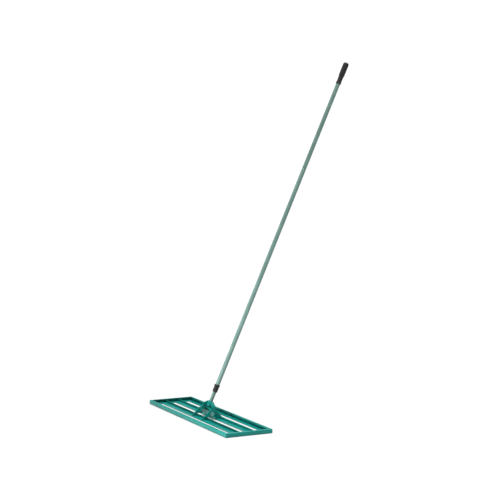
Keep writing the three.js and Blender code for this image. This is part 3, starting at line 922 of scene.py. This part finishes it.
def fluted(angle, radius, height):
    """Concave flutes along the outer wall of the grip."""
    if radius <= FLUTE_INNER:
        return radius
    hollow = max(0, math.cos(angle * FLUTES)) ** FLUTE_POWER
    return min(radius, GRIP_RADIUS + GAP - (FLUTE_DEPTH + GAP) * hollow)


grip_section = rounded([
    (POLE_SOCKET, GRIP_LOW, GRIP_BORE_EDGE),
    (GRIP_RING_RADIUS, GRIP_LOW, GRIP_RING_ROUND),
    (GRIP_RING_RADIUS, GRIP_LOW + GRIP_RING_LENGTH, GRIP_RING_ROUND),
    (NECK_RADIUS, GRIP_LOW + NECK_START, NECK_START_ROUND),
    (NECK_RADIUS, GRIP_LOW + NECK_END, NECK_END_ROUND),
    (GRIP_RADIUS, GRIP_LOW + SHOULDER_END, SHOULDER_ROUND),
    (GRIP_RADIUS, GRIP_HIGH, GRIP_END_ROUND),
    (0, GRIP_HIGH, 0),
    (0, GRIP_HIGH - GRIP_CAP, 0),
    (POLE_SOCKET, GRIP_HIGH - GRIP_CAP, GRIP_CAP_EDGE),
], steps=GRIP_END_STEPS)
fluted_grip = turned(grip_section, sides=FLUTES * FLUTE_SIDES, shape=fluted)
add_piece("fluted_grip", fluted_grip, HANDLE_FRAME, soft_black, "pole", ["grip"], smooth=50)

# Floor, light and camera, in metres, watts and degrees
FLOOR_HALF = 30
FLOOR_PARTS = 8
FLOOR_DROP = 0.0005
SKY_SEEN = 1.05
SKY_LIGHT = 0.2
SUN_STRENGTH = 6.1
SUN_WIDTH = 75
SUN_FROM = Vector((-0.05, 0.04, 1))
CAMERA_PLACE = (5.170, -2.5905, 1.214)
CAMERA_YAW = 61.582
CAMERA_PITCH = 3.426
CAMERA_ROLL = 0.821
CAMERA_LENS = 81.35
CAMERA_SENSOR = 36
CAMERA_FAR = 200


def plain_material(name, low, high):
    """A dull surface with a slow drift of tone."""
    material, tree, shader = new_material(name, Roughness=0.8, Specular_IOR_Level=0.1)
    set_colour(tree, shader, two_tone(tree, noise(tree, scale=3, detail=4), low, high))
    return material


def add_floor():
    mesh = bmesh.new()
    bmesh.ops.create_grid(mesh, x_segments=FLOOR_PARTS, y_segments=FLOOR_PARTS, size=FLOOR_HALF)
    data = bpy.data.meshes.new("floor")
    mesh.to_mesh(data)
    mesh.free()
    data.materials.append(plain_material("pale_floor", low=rgb(184, 184, 184), high=rgb(187, 187, 187)))
    floor = bpy.data.objects.new("floor", data)
    floor.location.z = -FLOOR_DROP
    bpy.context.scene.collection.objects.link(floor)


def add_studio():
    """A white sky that looks brighter than the light it gives."""
    world = bpy.data.worlds.new("studio")
    world.use_nodes = True
    bpy.context.scene.world = world
    tree = world.node_tree
    background = tree.nodes["Background"]
    background.inputs["Color"].default_value = WHITE
    seen = add_node(tree, "ShaderNodeLightPath").outputs["Is Camera Ray"]
    strength = add_node(tree, "ShaderNodeMapRange")
    strength.inputs["To Min"].default_value = SKY_LIGHT
    strength.inputs["To Max"].default_value = SKY_SEEN
    tree.links.new(seen, strength.inputs["Value"])
    tree.links.new(strength.outputs["Result"], background.inputs["Strength"])


def add_sun():
    data = bpy.data.lights.new("overhead", "SUN")
    data.energy = SUN_STRENGTH
    data.angle = math.radians(SUN_WIDTH)
    sun = bpy.data.objects.new("overhead", data)
    sun.rotation_euler = SUN_FROM.to_track_quat("Z", "Y").to_euler()
    bpy.context.scene.collection.objects.link(sun)


def soft_light(name, place, aim, width, height, power, spread=180):
    data = bpy.data.lights.new(name, "AREA")
    data.shape = "RECTANGLE"
    data.size = width
    data.size_y = height
    data.energy = power
    data.spread = math.radians(spread)
    light = bpy.data.objects.new(name, data)
    light.visible_camera = False
    light.location = place
    light.rotation_euler = (Vector(aim) - Vector(place)).to_track_quat("-Z", "Y").to_euler()
    bpy.context.scene.collection.objects.link(light)


def add_camera():
    yaw, pitch, roll = (math.radians(angle) for angle in (CAMERA_YAW, CAMERA_PITCH, CAMERA_ROLL))
    back = Vector((math.sin(yaw) * math.cos(pitch), -math.cos(yaw) * math.cos(pitch), math.sin(pitch)))
    right = Vector((math.cos(yaw), math.sin(yaw), 0))
    up = back.cross(right)
    rolled_right = right * math.cos(roll) + up * math.sin(roll)
    rolled_up = up * math.cos(roll) - right * math.sin(roll)
    data = bpy.data.cameras.new("camera")
    data.lens = CAMERA_LENS
    data.sensor_width = CAMERA_SENSOR
    data.clip_end = CAMERA_FAR
    camera = bpy.data.objects.new("camera", data)
    camera.matrix_world = frame_at(CAMERA_PLACE, Matrix((rolled_right, rolled_up, back)).transposed())
    bpy.context.scene.collection.objects.link(camera)
    bpy.context.scene.camera = camera


add_floor()
add_studio()
add_sun()
soft_light(
    "front_strip", place=(1.4, -4.5, 0.3), aim=(0.9, 0, 0.03), width=2, height=0.4, power=21, spread=40,
)
soft_light("far_panel", place=(-2.68, 1.34, 0.62), aim=(0, 0, 0.05), width=4, height=1, power=5)
add_camera()
bpy.context.scene.view_settings.view_transform = "Standard"

bpy.context.view_layer.update()
